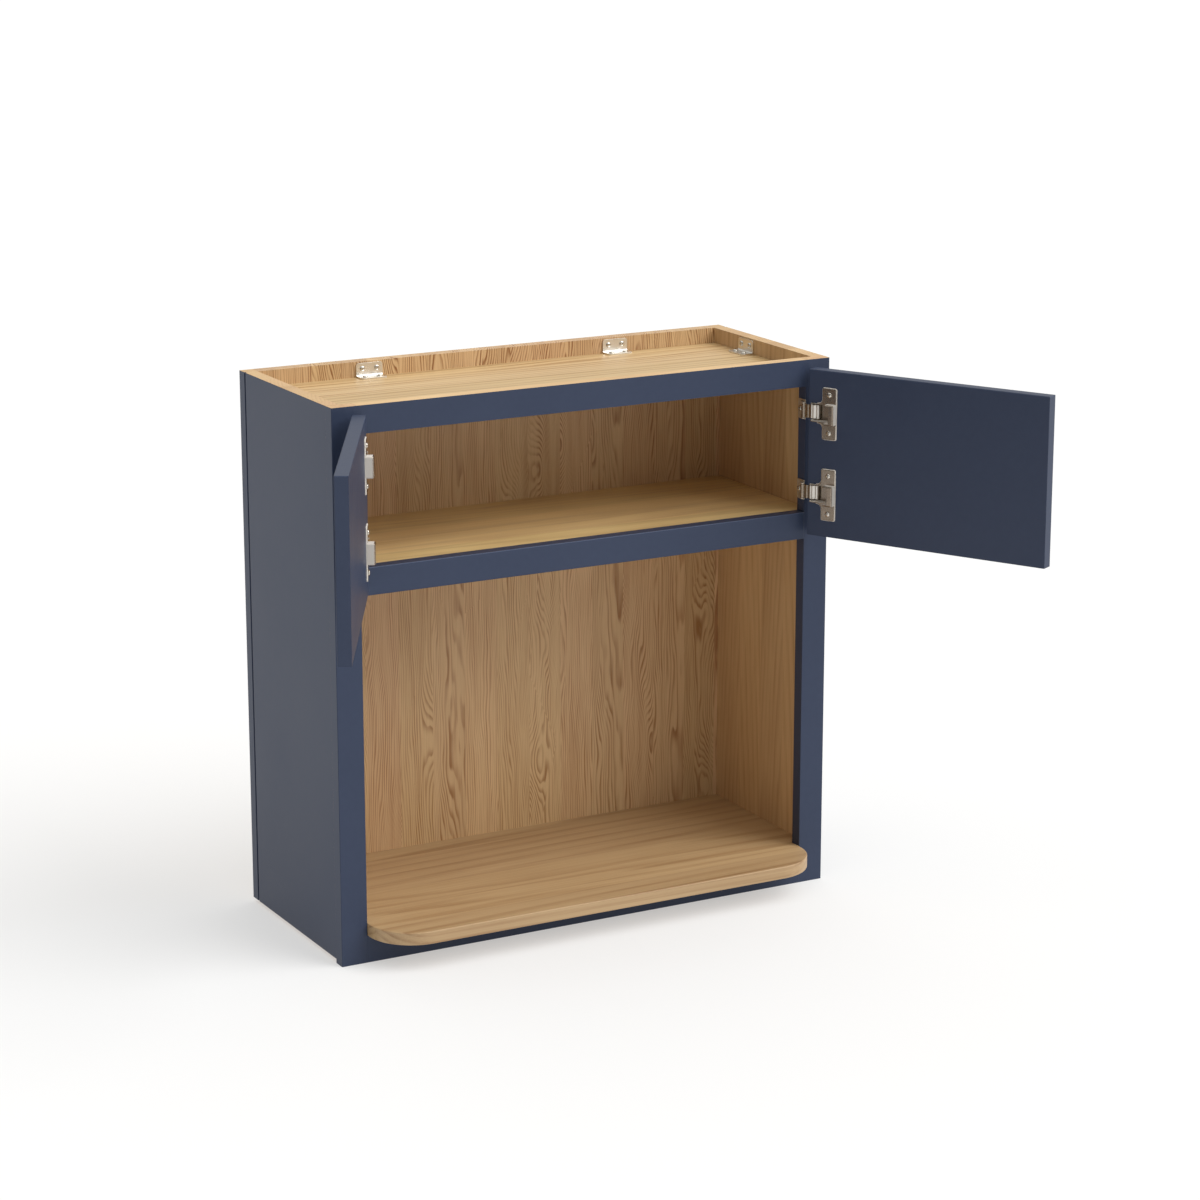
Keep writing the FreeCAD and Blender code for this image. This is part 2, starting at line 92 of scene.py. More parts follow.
class Node(Enum):
    """The shader nodes that the finishes use."""

    COORDINATES = "ShaderNodeTexCoord"
    GEOMETRY = "ShaderNodeNewGeometry"
    SPLIT = "ShaderNodeSeparateXYZ"
    JOIN = "ShaderNodeCombineXYZ"
    SPLIT_COLOUR = "ShaderNodeSeparateColor"
    MATH = "ShaderNodeMath"
    VECTOR_MATH = "ShaderNodeVectorMath"
    RANGE = "ShaderNodeMapRange"
    MIX = "ShaderNodeMix"
    TONE = "ShaderNodeHueSaturation"
    NOISE = "ShaderNodeTexNoise"
    STAVE_DICE = "ShaderNodeTexWhiteNoise"
    CELLS = "ShaderNodeTexVoronoi"
    BUMP = "ShaderNodeBump"
    BEVEL = "ShaderNodeBevel"
    SURFACE = "ShaderNodeBsdfPrincipled"
    OUTPUT = "ShaderNodeOutputMaterial"
    BACKGROUND = "ShaderNodeBackground"
    WORLD = "ShaderNodeOutputWorld"


def linear(colour: str) -> tuple[float, float, float, float]:
    """Turns an sRGB hex colour into linear light.

    Args:
        colour: Six hex digits after a hash sign.

    Returns:
        Red, green, blue and a full alpha.
    """
    shares = [int(colour[i:i + 2], 16) / 255 for i in (1, 3, 5)]
    levels = [s / 12.92 if s <= 0.04045 else ((s + 0.055) / 1.055) ** 2.4 for s in shares]
    return (levels[0], levels[1], levels[2], 1.0)


class Graph:
    """The node tree of a material or of the room."""

    def __init__(self, owner: bpy.types.Material | bpy.types.World) -> None:
        """Starts with an empty tree.

        Args:
            owner: The material or the room that the tree belongs to.
        """
        owner.use_nodes = True
        self.owner = owner
        self.tree = owner.node_tree
        self.tree.nodes.clear()

    @classmethod
    def of(cls, name: str) -> "Graph":
        """Starts a new material."""
        return cls(bpy.data.materials.new(name))

    def add(
        self, kind: Node, inputs: dict | None = None, out: int | str = 0, **settings: int | str
    ) -> Socket:
        """Adds a node with its settings and links.

        Args:
            kind: The node to add.
            inputs: What goes in each socket, by its name or place: another node's socket, or a constant.
            out: The name or place of the socket to hand back.
            settings: The node's own properties.

        Returns:
            The socket that the node gives its result on.
        """
        node = self.tree.nodes.new(kind.value)
        for name, value in settings.items():
            setattr(node, name, value)
        for key, value in (inputs or {}).items():
            if isinstance(value, Socket):
                self.tree.links.new(value, node.inputs[key])
            else:
                node.inputs[key].default_value = value
        return node.outputs[out] if len(node.outputs) else node.inputs[0]

    def sum(self, *terms: tuple[Socket | float, float]) -> Socket:
        """Adds up products.

        Args:
            terms: Pairs of a value and what it is multiplied by.

        Returns:
            The socket of the total.
        """
        total = 0.0
        for value, factor in terms:
            total = self.add(Node.MATH, {0: value, 1: factor, 2: total}, operation="MULTIPLY_ADD")
        return total

    def finish(self, surface: dict) -> bpy.types.Material:
        """Ends the tree in one surface shader.

        Args:
            surface: The shader's inputs.

        Returns:
            The finished material.
        """
        shader = self.add(Node.SURFACE, surface)
        self.add(Node.OUTPUT, {"Surface": shader})
        return self.owner


@dataclass(frozen=True)
class Skin:
    """What a finish gives the surface shader at each point."""

    colour: Socket
    roughness: Socket
    height: Socket


@dataclass(frozen=True)
class Relief:
    """The fine shape of a surface: softened arrises and a shallow pattern."""

    arris_mm: float
    depth_mm: float
    strength: float
    samples: int = 4

    def normals(self, g: Graph, height: Socket) -> tuple[Socket, Socket]:
        """Softens the arrises and lays the pattern over them.

        Args:
            g: The node tree to draw in.
            height: How high the pattern is.

        Returns:
            The normal of the softened form, and that normal with the pattern on it.
        """
        soft = g.add(Node.BEVEL, {"Radius": self.arris_mm * MM}, samples=self.samples)
        pattern = {"Height": height, "Strength": self.strength, "Distance": self.depth_mm * MM}
        return soft, g.add(Node.BUMP, {**pattern, "Normal": soft})


@dataclass(frozen=True)
class Grain:
    """A point's place in a board of staves.

    It has the number of the point's stave, the place across that stave from 0 to 1, and three random shares
    that say where in its log the stave was cut.
    """

    across_mm: Socket
    along_mm: Socket
    deep_mm: Socket
    stave: Socket
    within: Socket
    cut: bpy.types.NodeOutputs


@dataclass(frozen=True)
class Streaks:
    """Noise that is drawn out along the grain and starts anew in each stave."""

    wide_mm: float
    long_mm: float
    detail: float
    stave_skip: tuple[float, float] = (3.17, 5.71)

    def draw(self, g: Graph, grain: Grain) -> Socket:
        """Draws the streaks.

        Args:
            g: The node tree to draw in.
            grain: The point's place in the board.

        Returns:
            The noise, from 0 to 1.
        """
        place = g.add(Node.JOIN, {
            0: g.sum((grain.across_mm, 1 / self.wide_mm), (grain.stave, self.stave_skip[0])),
            1: g.sum((grain.along_mm, 1 / self.long_mm), (grain.stave, self.stave_skip[1])),
            2: g.sum((grain.deep_mm, 1 / self.wide_mm)),
        })
        return g.add(Node.NOISE, {"Vector": place, "Scale": 1.0, "Detail": self.detail})


@dataclass(frozen=True)
class Knots:
    """Knots below the surface, which push the year rings aside. Pairs are across and along the grain."""

    apart_mm: tuple[float, float] = (70.0, 260.0)
    size_mm: tuple[float, float] = (23.0, 58.0)
    push_mm: float = 34.0
    stave_skip: tuple[float, float] = (2.39, 4.13)

    def draw(self, g: Graph, grain: Grain) -> Socket:
        """Draws how far the nearest knot pushes.

        Args:
            g: The node tree to draw in.
            grain: The point's place in the board.

        Returns:
            The share of the full push, from -1 to 1.
        """
        place = g.add(Node.JOIN, {
            0: g.sum((grain.across_mm, 1 / self.apart_mm[0]), (grain.stave, self.stave_skip[0])),
            1: g.sum((grain.along_mm, 1 / self.apart_mm[1]), (grain.stave, self.stave_skip[1])),
        })
        knot = g.add(Node.CELLS, {"Vector": place, "Scale": 1.0}, out="Position", voronoi_dimensions="2D")
        aside = g.add(Node.VECTOR_MATH, {0: place, 1: knot}, operation="SUBTRACT")
        reach = (self.apart_mm[0] / self.size_mm[0], self.apart_mm[1] / self.size_mm[1], 0.0)
        away = g.add(Node.VECTOR_MATH, {0: aside, 1: reach}, operation="MULTIPLY")
        square = g.add(Node.VECTOR_MATH, {0: away, 1: away}, out="Value", operation="DOT_PRODUCT")
        near = g.add(Node.MATH, {0: g.sum((square, -1.0))}, operation="EXPONENT")
        dice = g.add(Node.SPLIT_COLOUR, {0: knot.node.outputs["Color"]})
        side = g.add(Node.RANGE, {"Value": dice, "To Min": -1.0})
        return g.add(Node.MATH, {0: near, 1: side}, operation="MULTIPLY")


@dataclass(frozen=True)
class YearRings:
    """The year rings of the log that a stave was sawn from.

    Each stave has its own pith, aside of it and below it. Each ring darkens slowly and ends at once.
    """

    wide_mm: float = 3.4
    pith_aside_mm: float = 190.0
    pith_deep_mm: float = 46.0
    lean: float = 0.05
    wave_mm: float = 30.0
    wave: Streaks = Streaks(36.0, 260.0, 2.5)
    knots: Knots = Knots()
    dark_from: float = 0.30
    dark_peak: float = 0.82

    def draw(self, g: Graph, grain: Grain, stave_mm: float) -> Socket:
        """Draws the dark late wood of each ring.

        Args:
            g: The node tree to draw in.
            grain: The point's place in the board.
            stave_mm: How wide a stave is.

        Returns:
            How dark the ring is, from 0 to 1.
        """
        aside, below, tilt = grain.cut[0], grain.cut[1], grain.cut[2]
        wander = self.wave.draw(g, grain)
        slope = g.add(Node.MATH, {0: tilt, 1: grain.along_mm}, operation="MULTIPLY")
        centred = self.pith_aside_mm - (stave_mm + self.wave_mm) / 2
        from_pith = g.add(Node.JOIN, {
            0: g.sum((grain.within, stave_mm), (aside, -2 * self.pith_aside_mm), (wander, self.wave_mm),
                     (self.knots.draw(g, grain), self.knots.push_mm), (slope, 2 * self.lean),
                     (grain.along_mm, -self.lean), (1.0, centred)),
            1: g.sum((grain.deep_mm, 1.0), (below, self.pith_deep_mm), (wander, self.wave_mm / 2),
                     (slope, self.lean)),
        })
        radius = g.add(Node.VECTOR_MATH, {0: from_pith}, out="Value", operation="LENGTH")
        year = g.add(Node.MATH, {0: g.sum((radius, 1 / self.wide_mm))}, operation="FRACT")
        rise, fall = (
            g.add(Node.RANGE, {"Value": year, "From Min": start, "From Max": self.dark_peak},
                  interpolation_type="SMOOTHSTEP")
            for start in (self.dark_from, 1.0)
        )
        return g.add(Node.MATH, {0: rise, 1: fall}, operation="MULTIPLY")


@dataclass(frozen=True)
class PineStaves:
    """Edge-glued pine board, planed, sanded and clear lacquered.

    Narrow staves lie side by side, each sawn from its own place in a log, so its year rings show as fine
    wavy lines, as slanting figure, as an arch or as a swirl round a hidden knot. They fade in and out along
    their way. The satin lacquer leaves a soft, warm sheen. The fibres are drawn coarser than real, so that
    they still show from across a room.
    """

    name: str
    along: Axis
    across: Axis
    seed: float
    stave_mm: float = 52.0
    rings: YearRings = YearRings()
    fade: Streaks = Streaks(9.0, 170.0, 2.0)
    fibre: Streaks = Streaks(1.3, 50.0, 3.0)
    patch: Streaks = Streaks(70.0, 300.0, 1.0)
    fade_from: float = 0.36
    fade_to: float = 0.66
    faint: float = 0.25
    contrast: float = 0.80
    fibre_share: float = 0.50
    patch_share: float = 0.45
    pale_share: float = 0.26
    early: str = "#d8b78a"
    late: str = "#9a6e42"
    tone: float = 1.0
    tone_spread: float = 0.06
    hues: tuple[float, float] = (0.496, 0.503)
    roughness: float = 0.44
    fibre_roughness: float = 0.16
    late_gloss: float = 0.05
    fibre_height: float = 0.6
    late_height: float = 0.5
    refraction: float = 1.5
    relief: Relief = Relief(0.6, 0.25, 0.22)

    def grain(self, g: Graph) -> Grain:
        """Finds a point's place in the board.

        Args:
            g: The node tree to draw in.

        Returns:
            The place.
        """
        through = next(axis for axis in Axis if axis not in (self.along, self.across))
        place = g.add(Node.SPLIT, {0: g.add(Node.COORDINATES, out="Object")}).node.outputs
        across, along, deep = (
            g.sum((place[axis.value], 1 / MM)) for axis in (self.across, self.along, through)
        )
        stave_at = g.sum((across, 1 / self.stave_mm), (1.0, self.seed))
        stave = g.add(Node.MATH, {0: stave_at}, operation="FLOOR")
        within = g.add(Node.MATH, {0: stave_at}, operation="FRACT")
        dice = g.add(Node.STAVE_DICE, {"W": stave}, out="Color", noise_dimensions="1D")
        cut = g.add(Node.SPLIT_COLOUR, {0: dice}).node.outputs
        return Grain(across, along, deep, stave, within, cut)

    def skin(self, g: Graph) -> Skin:
        """Draws the staves, their rings and fibres.

        Args:
            g: The node tree to draw in.

        Returns:
            The board's colour, roughness and height.
        """
        grain = self.grain(g)
        late = self.rings.draw(g, grain, self.stave_mm)
        fade = self.fade.draw(g, grain)
        fibre = self.fibre.draw(g, grain)
        patch = self.patch.draw(g, grain)
        strength = g.add(Node.RANGE, {
            "Value": fade, "From Min": self.fade_from, "From Max": self.fade_to, "To Min": self.faint,
        })
        banding = g.add(Node.MATH, {0: late, 1: strength}, operation="MULTIPLY")
        amount = g.sum((banding, self.contrast), (fibre, self.fibre_share), (patch, self.patch_share),
                       (1.0, -self.pale_share))
        colour = g.add(Node.MIX, {"Factor": amount, "A": linear(self.early), "B": linear(self.late)},
                       out="Result", data_type="RGBA")
        value = g.add(Node.RANGE, {
            "Value": grain.cut[1],
            "To Min": (1 - self.tone_spread) * self.tone,
            "To Max": (1 + self.tone_spread) * self.tone,
        })
        hue = g.add(Node.RANGE, {"Value": grain.cut[2], "To Min": self.hues[0], "To Max": self.hues[1]})
        colour = g.add(Node.TONE, {"Color": colour, "Value": value, "Hue": hue})
        rough = g.sum((fibre, self.fibre_roughness), (late, -self.late_gloss),
                      (1.0, self.roughness - self.fibre_roughness / 2))
        height = g.sum((fibre, self.fibre_height), (late, self.late_height))
        return Skin(colour, rough, height)

    def material(self) -> bpy.types.Material:
        """Makes the board's material.

        Returns:
            The material.
        """
        g = Graph.of(self.name)
        skin = self.skin(g)
        normal = self.relief.normals(g, skin.height)[1]
        return g.finish({"Base Color": skin.colour, "Roughness": skin.roughness, "Normal": normal,
                         "IOR": self.refraction})


@dataclass(frozen=True)
class NavyLacquer:
    """Sprayed satin lacquer over a sanded primer.

    The dark blue is even from afar. Close by it has the shallow dimples of a sprayed coat, and its satin
    gloss turns it grey where it is seen along the surface. Arrises that turn up get a painted highlight, a
    pale colour mixed in where the softened normal tilts further up than the face. They are drawn wider than
    real, so that they still show from across a room.
    """

    name: str = "satin navy spray lacquer"
    colour: str = "#30394e"
    lighter: str = "#384156"
    # Painted highlight colour for arrises that turn up.
    arris_highlight: str = "#59647f"
    dimple_mm: float = 2.2
    dimple_detail: float = 1.5
    dust_mm: float = 9.0
    dust_detail: float = 4.0
    cloud_mm: float = 140.0
    cloud_detail: float = 3.0
    cloud_share: float = 0.7
    dust_share: float = 0.5
    roughness: float = 0.40
    cloud_roughness: float = 0.10
    dust_roughness: float = 0.06
    gloss: float = 0.22
    lit_from: float = 0.05
    lit_to: float = 0.45
    lit_share: float = 0.8
    relief: Relief = Relief(2.0, 0.12, 0.10, samples=6)

    def skin(self, g: Graph) -> Skin:
        """Draws the sprayed coat.

        Args:
            g: The node tree to draw in.

        Returns:
            The coat's colour, roughness and height.
        """
        place = g.add(Node.COORDINATES, out="Object")
        cloud, dimple, dust = (
            g.add(Node.NOISE, {"Vector": place, "Scale": 1 / (size_mm * MM), "Detail": detail})
            for size_mm, detail in (
                (self.cloud_mm, self.cloud_detail),
                (self.dimple_mm, self.dimple_detail),
                (self.dust_mm, self.dust_detail),
            )
        )
        amount = g.sum((cloud, self.cloud_share), (dust, self.dust_share),
                       (1.0, 0.5 - (self.cloud_share + self.dust_share) / 2))
        colour = g.add(Node.MIX, {"Factor": amount, "A": linear(self.colour), "B": linear(self.lighter)},
                       out="Result", data_type="RGBA")
        rough = g.sum((cloud, self.cloud_roughness), (dust, self.dust_roughness),
                      (1.0, self.roughness - (self.cloud_roughness + self.dust_roughness) / 2))
        return Skin(colour, rough, dimple)

    def material(self) -> bpy.types.Material:
        """Makes the lacquer's material.

        Returns:
            The material.
        """
        g = Graph.of(self.name)
        skin = self.skin(g)
        soft, normal = self.relief.normals(g, skin.height)
        # Painted highlight: where the softened normal tilts further up than the face, the colour turns pale,
        # as if the arris caught the light from above.
        tilted = g.add(Node.SPLIT, {0: soft}, out="Z")
        facing = g.add(Node.SPLIT, {0: g.add(Node.GEOMETRY, out="True Normal")}, out="Z")
        lit = g.add(Node.RANGE, {
            "Value": g.sum((tilted, 1.0), (facing, -1.0)),
            "From Min": self.lit_from,
            "From Max": self.lit_to,
            "To Max": self.lit_share,
        })
        colour = g.add(Node.MIX, {"Factor": lit, "A": skin.colour, "B": linear(self.arris_highlight)},
                       out="Result", data_type="RGBA")
        return g.finish({"Base Color": colour, "Roughness": skin.roughness, "Normal": normal,
                         "Specular IOR Level": self.gloss})


@dataclass(frozen=True)
class PartPainted:
    """Pine board with lacquer on its outer faces, while its sawn top edge and inner faces stay bare."""

    name: str
    wood: PineStaves
    paint: NavyLacquer
    axis: Axis
    beyond: float
    up_share: float = 0.5
    relief: Relief = Relief(0.7, 0.2, 0.15)

    def material(self) -> bpy.types.Material:
        """Makes a material that is lacquer where the point lies beyond a plane and doesn't face up.

        Returns:
            The material.
        """
        g = Graph.of(self.name)
        wood = self.wood.skin(g)
        paint = self.paint.skin(g)
        place = g.add(Node.SPLIT, {0: g.add(Node.COORDINATES, out="Object")}).node.outputs
        facing = g.add(Node.SPLIT, {0: g.add(Node.GEOMETRY, out="True Normal")}).node.outputs
        out = g.add(Node.MATH, {0: place[self.axis.value]}, operation="ABSOLUTE")
        outside = g.add(Node.MATH, {0: out, 1: self.beyond}, operation="GREATER_THAN")
        aside = g.add(Node.MATH, {0: facing[Axis.HEIGHT.value], 1: self.up_share}, operation="LESS_THAN")
        painted = g.add(Node.MATH, {0: outside, 1: aside}, operation="MULTIPLY")
        colour = g.add(Node.MIX, {"Factor": painted, "A": wood.colour, "B": paint.colour},
                       out="Result", data_type="RGBA")
        rough = g.add(Node.MIX, {"Factor": painted, "A": wood.roughness, "B": paint.roughness}, out="Result")
        height = g.add(Node.MIX, {"Factor": painted, "A": wood.height, "B": paint.height}, out="Result")
        normal = self.relief.normals(g, height)[1]
        return g.finish({"Base Color": colour, "Roughness": rough, "Normal": normal,
                         "Specular IOR Level": self.paint.gloss})


@dataclass(frozen=True)
class NickelPlate:
    """Pressed steel with nickel plating.

    It mirrors the pine and the white room softly, with a faint tumbled grain that is drawn coarser than
    real.
    """

    name: str = "nickel plated steel"
    colour: str = "#9d9082"
    dull: str = "#857a6d"
    grain_mm: float = 1.1
    grain_detail: float = 3.0
    haze_mm: float = 14.0
    haze_detail: float = 2.0
    roughness: float = 0.26
    uneven: float = 0.10
    # Pale colour and roughness of the marked part, a painted highlight on the hinge housings.
    bright: str = "#e9e5df"
    bright_roughness: float = 0.95
    relief: Relief = Relief(0.5, 0.1, 0.06)

    def pale_part(self, g: Graph) -> Socket | None:
        """Marks what gets the pale colour, which is nothing on a plain pressing."""
        return None

    def material(self) -> bpy.types.Material:
        """Makes the plating's material.

        Returns:
            The material.
        """
        g = Graph.of(self.name)
        place = g.add(Node.COORDINATES, out="Object")
        grain, haze = (
            g.add(Node.NOISE, {"Vector": place, "Scale": 1 / (size_mm * MM), "Detail": detail})
            for size_mm, detail in ((self.grain_mm, self.grain_detail), (self.haze_mm, self.haze_detail))
        )
        colour = g.add(Node.MIX, {"Factor": haze, "A": linear(self.colour), "B": linear(self.dull)},
                       out="Result", data_type="RGBA")
        rough = g.sum((grain, self.uneven), (haze, self.uneven), (1.0, self.roughness - self.uneven))
        # On the housings the pale matt colour is a painted highlight on the rims and walls; on the links it
        # paints the door end paler.
        pale_part = self.pale_part(g)
        if pale_part is not None:
            colour = g.add(Node.MIX, {"Factor": pale_part, "A": colour, "B": linear(self.bright)},
                           out="Result", data_type="RGBA")
            rough = g.add(Node.MIX, {"Factor": pale_part, "A": rough, "B": self.bright_roughness},
                          out="Result")
        normal = self.relief.normals(g, grain)[1]
        return g.finish({"Base Color": colour, "Roughness": rough, "Metallic": 1.0, "Normal": normal})


@dataclass(frozen=True)
class FlangePlate(NickelPlate):
    """Plating of a hinge housing, with a painted highlight: a pale matt colour on the flange's rounded rim
    and pressed walls.
    """

    face: tuple[float, float, float] = (0.0, 1.0, 0.0)
    cover_from: float = 0.0
    flat_share: float = 0.90
    wall_share: float = 0.15

    def pale_part(self, g: Graph) -> Socket | None:
        """Marks the surfaces that turn away from the flat face, where a highlight is painted.

        Args:
            g: The node tree to draw in.

        Returns:
            1 on a wall and on the flange's rim, and 0 elsewhere.
        """
        place, facing = (
            g.add(Node.VECTOR_MATH, {0: g.add(Node.COORDINATES, out=kind), 1: self.face},
                  out="Value", operation="DOT_PRODUCT")
            for kind in ("Object", "Normal")
        )
        share = g.add(Node.MATH, {0: facing}, operation="ABSOLUTE")
        wall = g.add(Node.MATH, {0: share, 1: self.wall_share}, operation="LESS_THAN")
        edge = g.add(Node.MATH, {0: share, 1: self.flat_share}, operation="LESS_THAN")
        flange = g.add(Node.MATH, {0: place, 1: self.cover_from}, operation="LESS_THAN")
        rim = g.add(Node.MATH, {0: edge, 1: flange}, operation="MULTIPLY")
        return g.add(Node.MATH, {0: wall, 1: rim}, operation="MAXIMUM")


@dataclass(frozen=True)
class LinkPlate(NickelPlate):
    """Plating of a hinge link, paler and more matt from a point along it to the door's pin, and plain at the
    frame's end.
    """

    toward: tuple[float, float, float] = (1.0, 0.0, 0.0)
    bright_from: float = 0.0

    def pale_part(self, g: Graph) -> Socket | None:
        """Marks the link's door end.

        Args:
            g: The node tree to draw in.

        Returns:
            1 toward the door's pin and 0 toward the frame's.
        """
        place = g.add(Node.VECTOR_MATH, {0: g.add(Node.COORDINATES, out="Object"), 1: self.toward},
                      out="Value", operation="DOT_PRODUCT")
        return g.add(Node.MATH, {0: place, 1: self.bright_from}, operation="GREATER_THAN")


def cad_mesh(node: str) -> bpy.types.Mesh:
    """Finds the mesh of a CAD node."""
    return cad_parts[node].data


def span(node: str, axis: Axis) -> tuple[float, float]:
    """Measures a CAD node from the cabinet's middle, or from the wall.

    Args:
        node: The node's name.
        axis: The direction to measure in.

    Returns:
        The least and the greatest distance of its corners.
    """
    places = [abs(corner.co[axis.value]) for corner in cad_mesh(node).vertices]
    return min(places), max(places)


def dress(node: str, material: bpy.types.Material) -> None:
    """Gives a CAD node its finish.

    Args:
        node: The node's name.
        material: The finish that replaces its plain one.
    """
    mesh = cad_mesh(node)
    mesh.materials.clear()
    mesh.materials.append(material)
    LOG.info("%s: %s", node, material.name)


@dataclass
class Carcass:
    """The boards of the box."""

    paint: NavyLacquer
    scribe_depth: float = 2.0 * MM
    paint_margin: float = 0.3 * MM
    side_seeds: dict[Hand, float] = field(default_factory=lambda: {Hand.LEFT: 3.3, Hand.RIGHT: 21.7})

    @staticmethod
    def boards() -> dict[str, PineStaves]:
        """Picks the pine of each board that stays bare.

        A flat sawn face cuts its rings at a low angle, so they show far wider on the lying boards.

        Returns:
            The pine by the board's node.
        """
        flat_sawn = YearRings(
            pith_aside_mm=260.0, lean=0.03, wave_mm=60.0, wave=Streaks(70.0, 900.0, 2.5),
            knots=Knots(push_mm=0.0),
        )
        slanting = YearRings(lean=0.16, knots=Knots(push_mm=14.0))
        lying = {
            "along": Axis.WIDTH, "across": Axis.DEPTH,
            "fade": Streaks(9.0, 320.0, 2.0), "fibre": Streaks(1.3, 160.0, 3.0),
        }
        upright = {"along": Axis.HEIGHT, "across": Axis.WIDTH}
        return {
            "top_panel": PineStaves(
                "pine top panel", seed=5.35, stave_mm=95.0, rings=replace(flat_sawn, wide_mm=14.0),
                contrast=0.85, tone=0.77, early="#e2c491", late="#a67a46", **lying,
            ),
            "cupboard_shelf": PineStaves(
                "pine shelf", seed=11.2, stave_mm=110.0, rings=replace(flat_sawn, wide_mm=13.0),
                patch=Streaks(60.0, 190.0, 1.0), contrast=0.30, tone=1.18,
                early="#d3b883", late="#957044", **lying,
            ),
            "floor_board": PineStaves(
                "pine floor and tray", seed=21.6, stave_mm=125.0, rings=replace(flat_sawn, wide_mm=10.0),
                contrast=0.46, tone=0.76, **lying,
            ),
            "back_panel": PineStaves("pine back panel", seed=2.15, tone=0.96, **upright),
            "upper_hanging_rail": PineStaves(
                "pine hanging rail", seed=31.4, stave_mm=44.0, rings=slanting, contrast=1.05,
                late="#8a5c33", **upright,
            ),
            "lower_hanging_rail": PineStaves("pine lower hanging rail", seed=37.9, stave_mm=44.0, **upright),
        }

    def side(self, node: str, seed: float) -> PartPainted:
        """Picks the finish of a side, which has plain quarter sawn pine inside and lacquer outside.

        Args:
            node: The side's node.
            seed: Where its staves start.

        Returns:
            The side's finish.
        """
        quarter_sawn = YearRings(
            wide_mm=5.0, wave_mm=10.0, wave=Streaks(36.0, 700.0, 2.5), knots=Knots(push_mm=0.0),
        )
        wood = PineStaves(
            f"pine of the {node}", Axis.HEIGHT, Axis.DEPTH, seed, stave_mm=60.0, rings=quarter_sawn,
            fade=Streaks(9.0, 500.0, 2.0), contrast=0.30, tone=0.94,
        )
        beyond = span(node, Axis.WIDTH)[1] - self.scribe_depth - self.paint_margin
        return PartPainted(f"pine {node} with navy outside", wood, self.paint, Axis.WIDTH, beyond)

    def dress(self) -> None:
        """Gives each board pine that runs as its grain does, and the sides their lacquer."""
        for node, wood in self.boards().items():
            dress(node, wood.material())
        for hand, seed in self.side_seeds.items():
            node = f"{hand.value}_side"
            dress(node, self.side(node, seed).material())
        dowel = PineStaves("beech dowel", Axis.WIDTH, Axis.DEPTH, 41.0, contrast=0.2, early="#d8b48c",
                           late="#b98d62")
        dress("frame_dowels", dowel.material())


@dataclass
class FaceFrame:
    """The stiles and rails, lacquered but for the sawn top edges and the rear of the stiles and top rail."""

    paint: NavyLacquer
    rear_margin: float = 0.02 * MM

    def dress(self) -> None:
        """Gives the frame its lacquer and bare faces."""
        bare_from = span("top_rail", Axis.DEPTH)[0] + self.rear_margin
        wood = PineStaves("pine stile", Axis.HEIGHT, Axis.WIDTH, 47.2)
        stile = PartPainted("navy stile with bare end and rear", wood, self.paint, Axis.DEPTH, bare_from)
        upright = stile.material()
        for hand in Hand:
            dress(f"{hand.value}_stile", upright)
        wood = PineStaves("pine rail", Axis.WIDTH, Axis.DEPTH, 53.9, contrast=0.3)
        rail = PartPainted("navy rail with bare top and rear", wood, self.paint, Axis.DEPTH, bare_from)
        dress("top_rail", rail.material())
        lacquer = self.paint.material()
        for node in ("middle_rail", "bottom_rail"):
            dress(node, lacquer)


@dataclass
class Doors:
    """The two slab doors, lacquered on every face."""

    paint: NavyLacquer

    def dress(self) -> None:
        """Gives the doors their lacquer."""
        lacquer = replace(self.paint, name="satin navy door lacquer").material()
        for hand in Hand:
            dress(f"{hand.value}_door", lacquer)


@dataclass
class Hardware:
    """The hinges, their pins and the angle brackets."""

    plate: NickelPlate = NickelPlate()
    arm_plate: NickelPlate = NickelPlate(
        "matt nickel plated steel of the arms", "#d8cec0", "#c0b5a6", roughness=0.55,
    )
    bracket_plate: NickelPlate = NickelPlate(
        "bright zinc plated bracket steel", "#ebe8e2", "#d8d4cc", roughness=0.30,
    )
    open_deg: float = 118.0
    cover_rise: float = 9.5 * MM
    # Share of the link's length, from the frame's pin, where its paler colour starts.
    pale_from: float = 0.62
    link_bright: str = "#dcd8d1"
    link_roughness: float = 0.40
    brackets: tuple[str, ...] = ("rear_left", "rear_right", "left_side", "right_side")

    def housing_plate(self, hand: Hand) -> FlangePlate:
        """Sets the housing's plating to its door, which stands open.

        Args:
            hand: The door's side.

        Returns:
            The plating of that door's housings.
        """
        turn = math.radians(self.open_deg)
        face = Vector((-hand.way * math.sin(turn), math.cos(turn), 0.0))
        corners = cad_mesh(f"{hand.value}_upper_hinge_housing").vertices
        cover_top = max(corner.co.dot(face) for corner in corners)
        return FlangePlate(f"nickel plated steel of the {hand.value} housings", face=tuple(face),
                           cover_from=cover_top - self.cover_rise)

    def link_plate(self, hand: Hand) -> LinkPlate:
        """Sets the link's plating to its two pins.

        Args:
            hand: The door's side.

        Returns:
            The plating of that side's links.
        """
        ends = []
        for pins in PINS:
            corners = [corner.co for corner in cad_mesh(f"{hand.value}_{pins}").vertices]
            ends.append(sum(corners, Vector()) / len(corners))
        way = ends[1] - ends[0]
        toward = way.normalized()
        return LinkPlate(f"nickel plated steel of the {hand.value} links", bright=self.link_bright,
                         bright_roughness=self.link_roughness, toward=tuple(toward),
                         bright_from=(ends[0] + self.pale_from * way).dot(toward))

    def dress(self) -> None:
        """Gives the pressed parts their plating."""
        nickel = self.plate.material()
        matt = self.arm_plate.material()
        for hand in Hand:
            housing = self.housing_plate(hand).material()
            link = self.link_plate(hand).material()
            for place in PLACES:
                hinge = f"{hand.value}_{place}_hinge"
                dress(f"{hinge}_arm", matt)
                dress(f"{hinge}_housing", housing)
                dress(f"{hinge}_link", link)
            for pins in PINS:
                dress(f"{hand.value}_{pins}", nickel)
        bright = self.bracket_plate.material()
        for bracket in self.brackets:
            dress(f"{bracket}_bracket", bright)


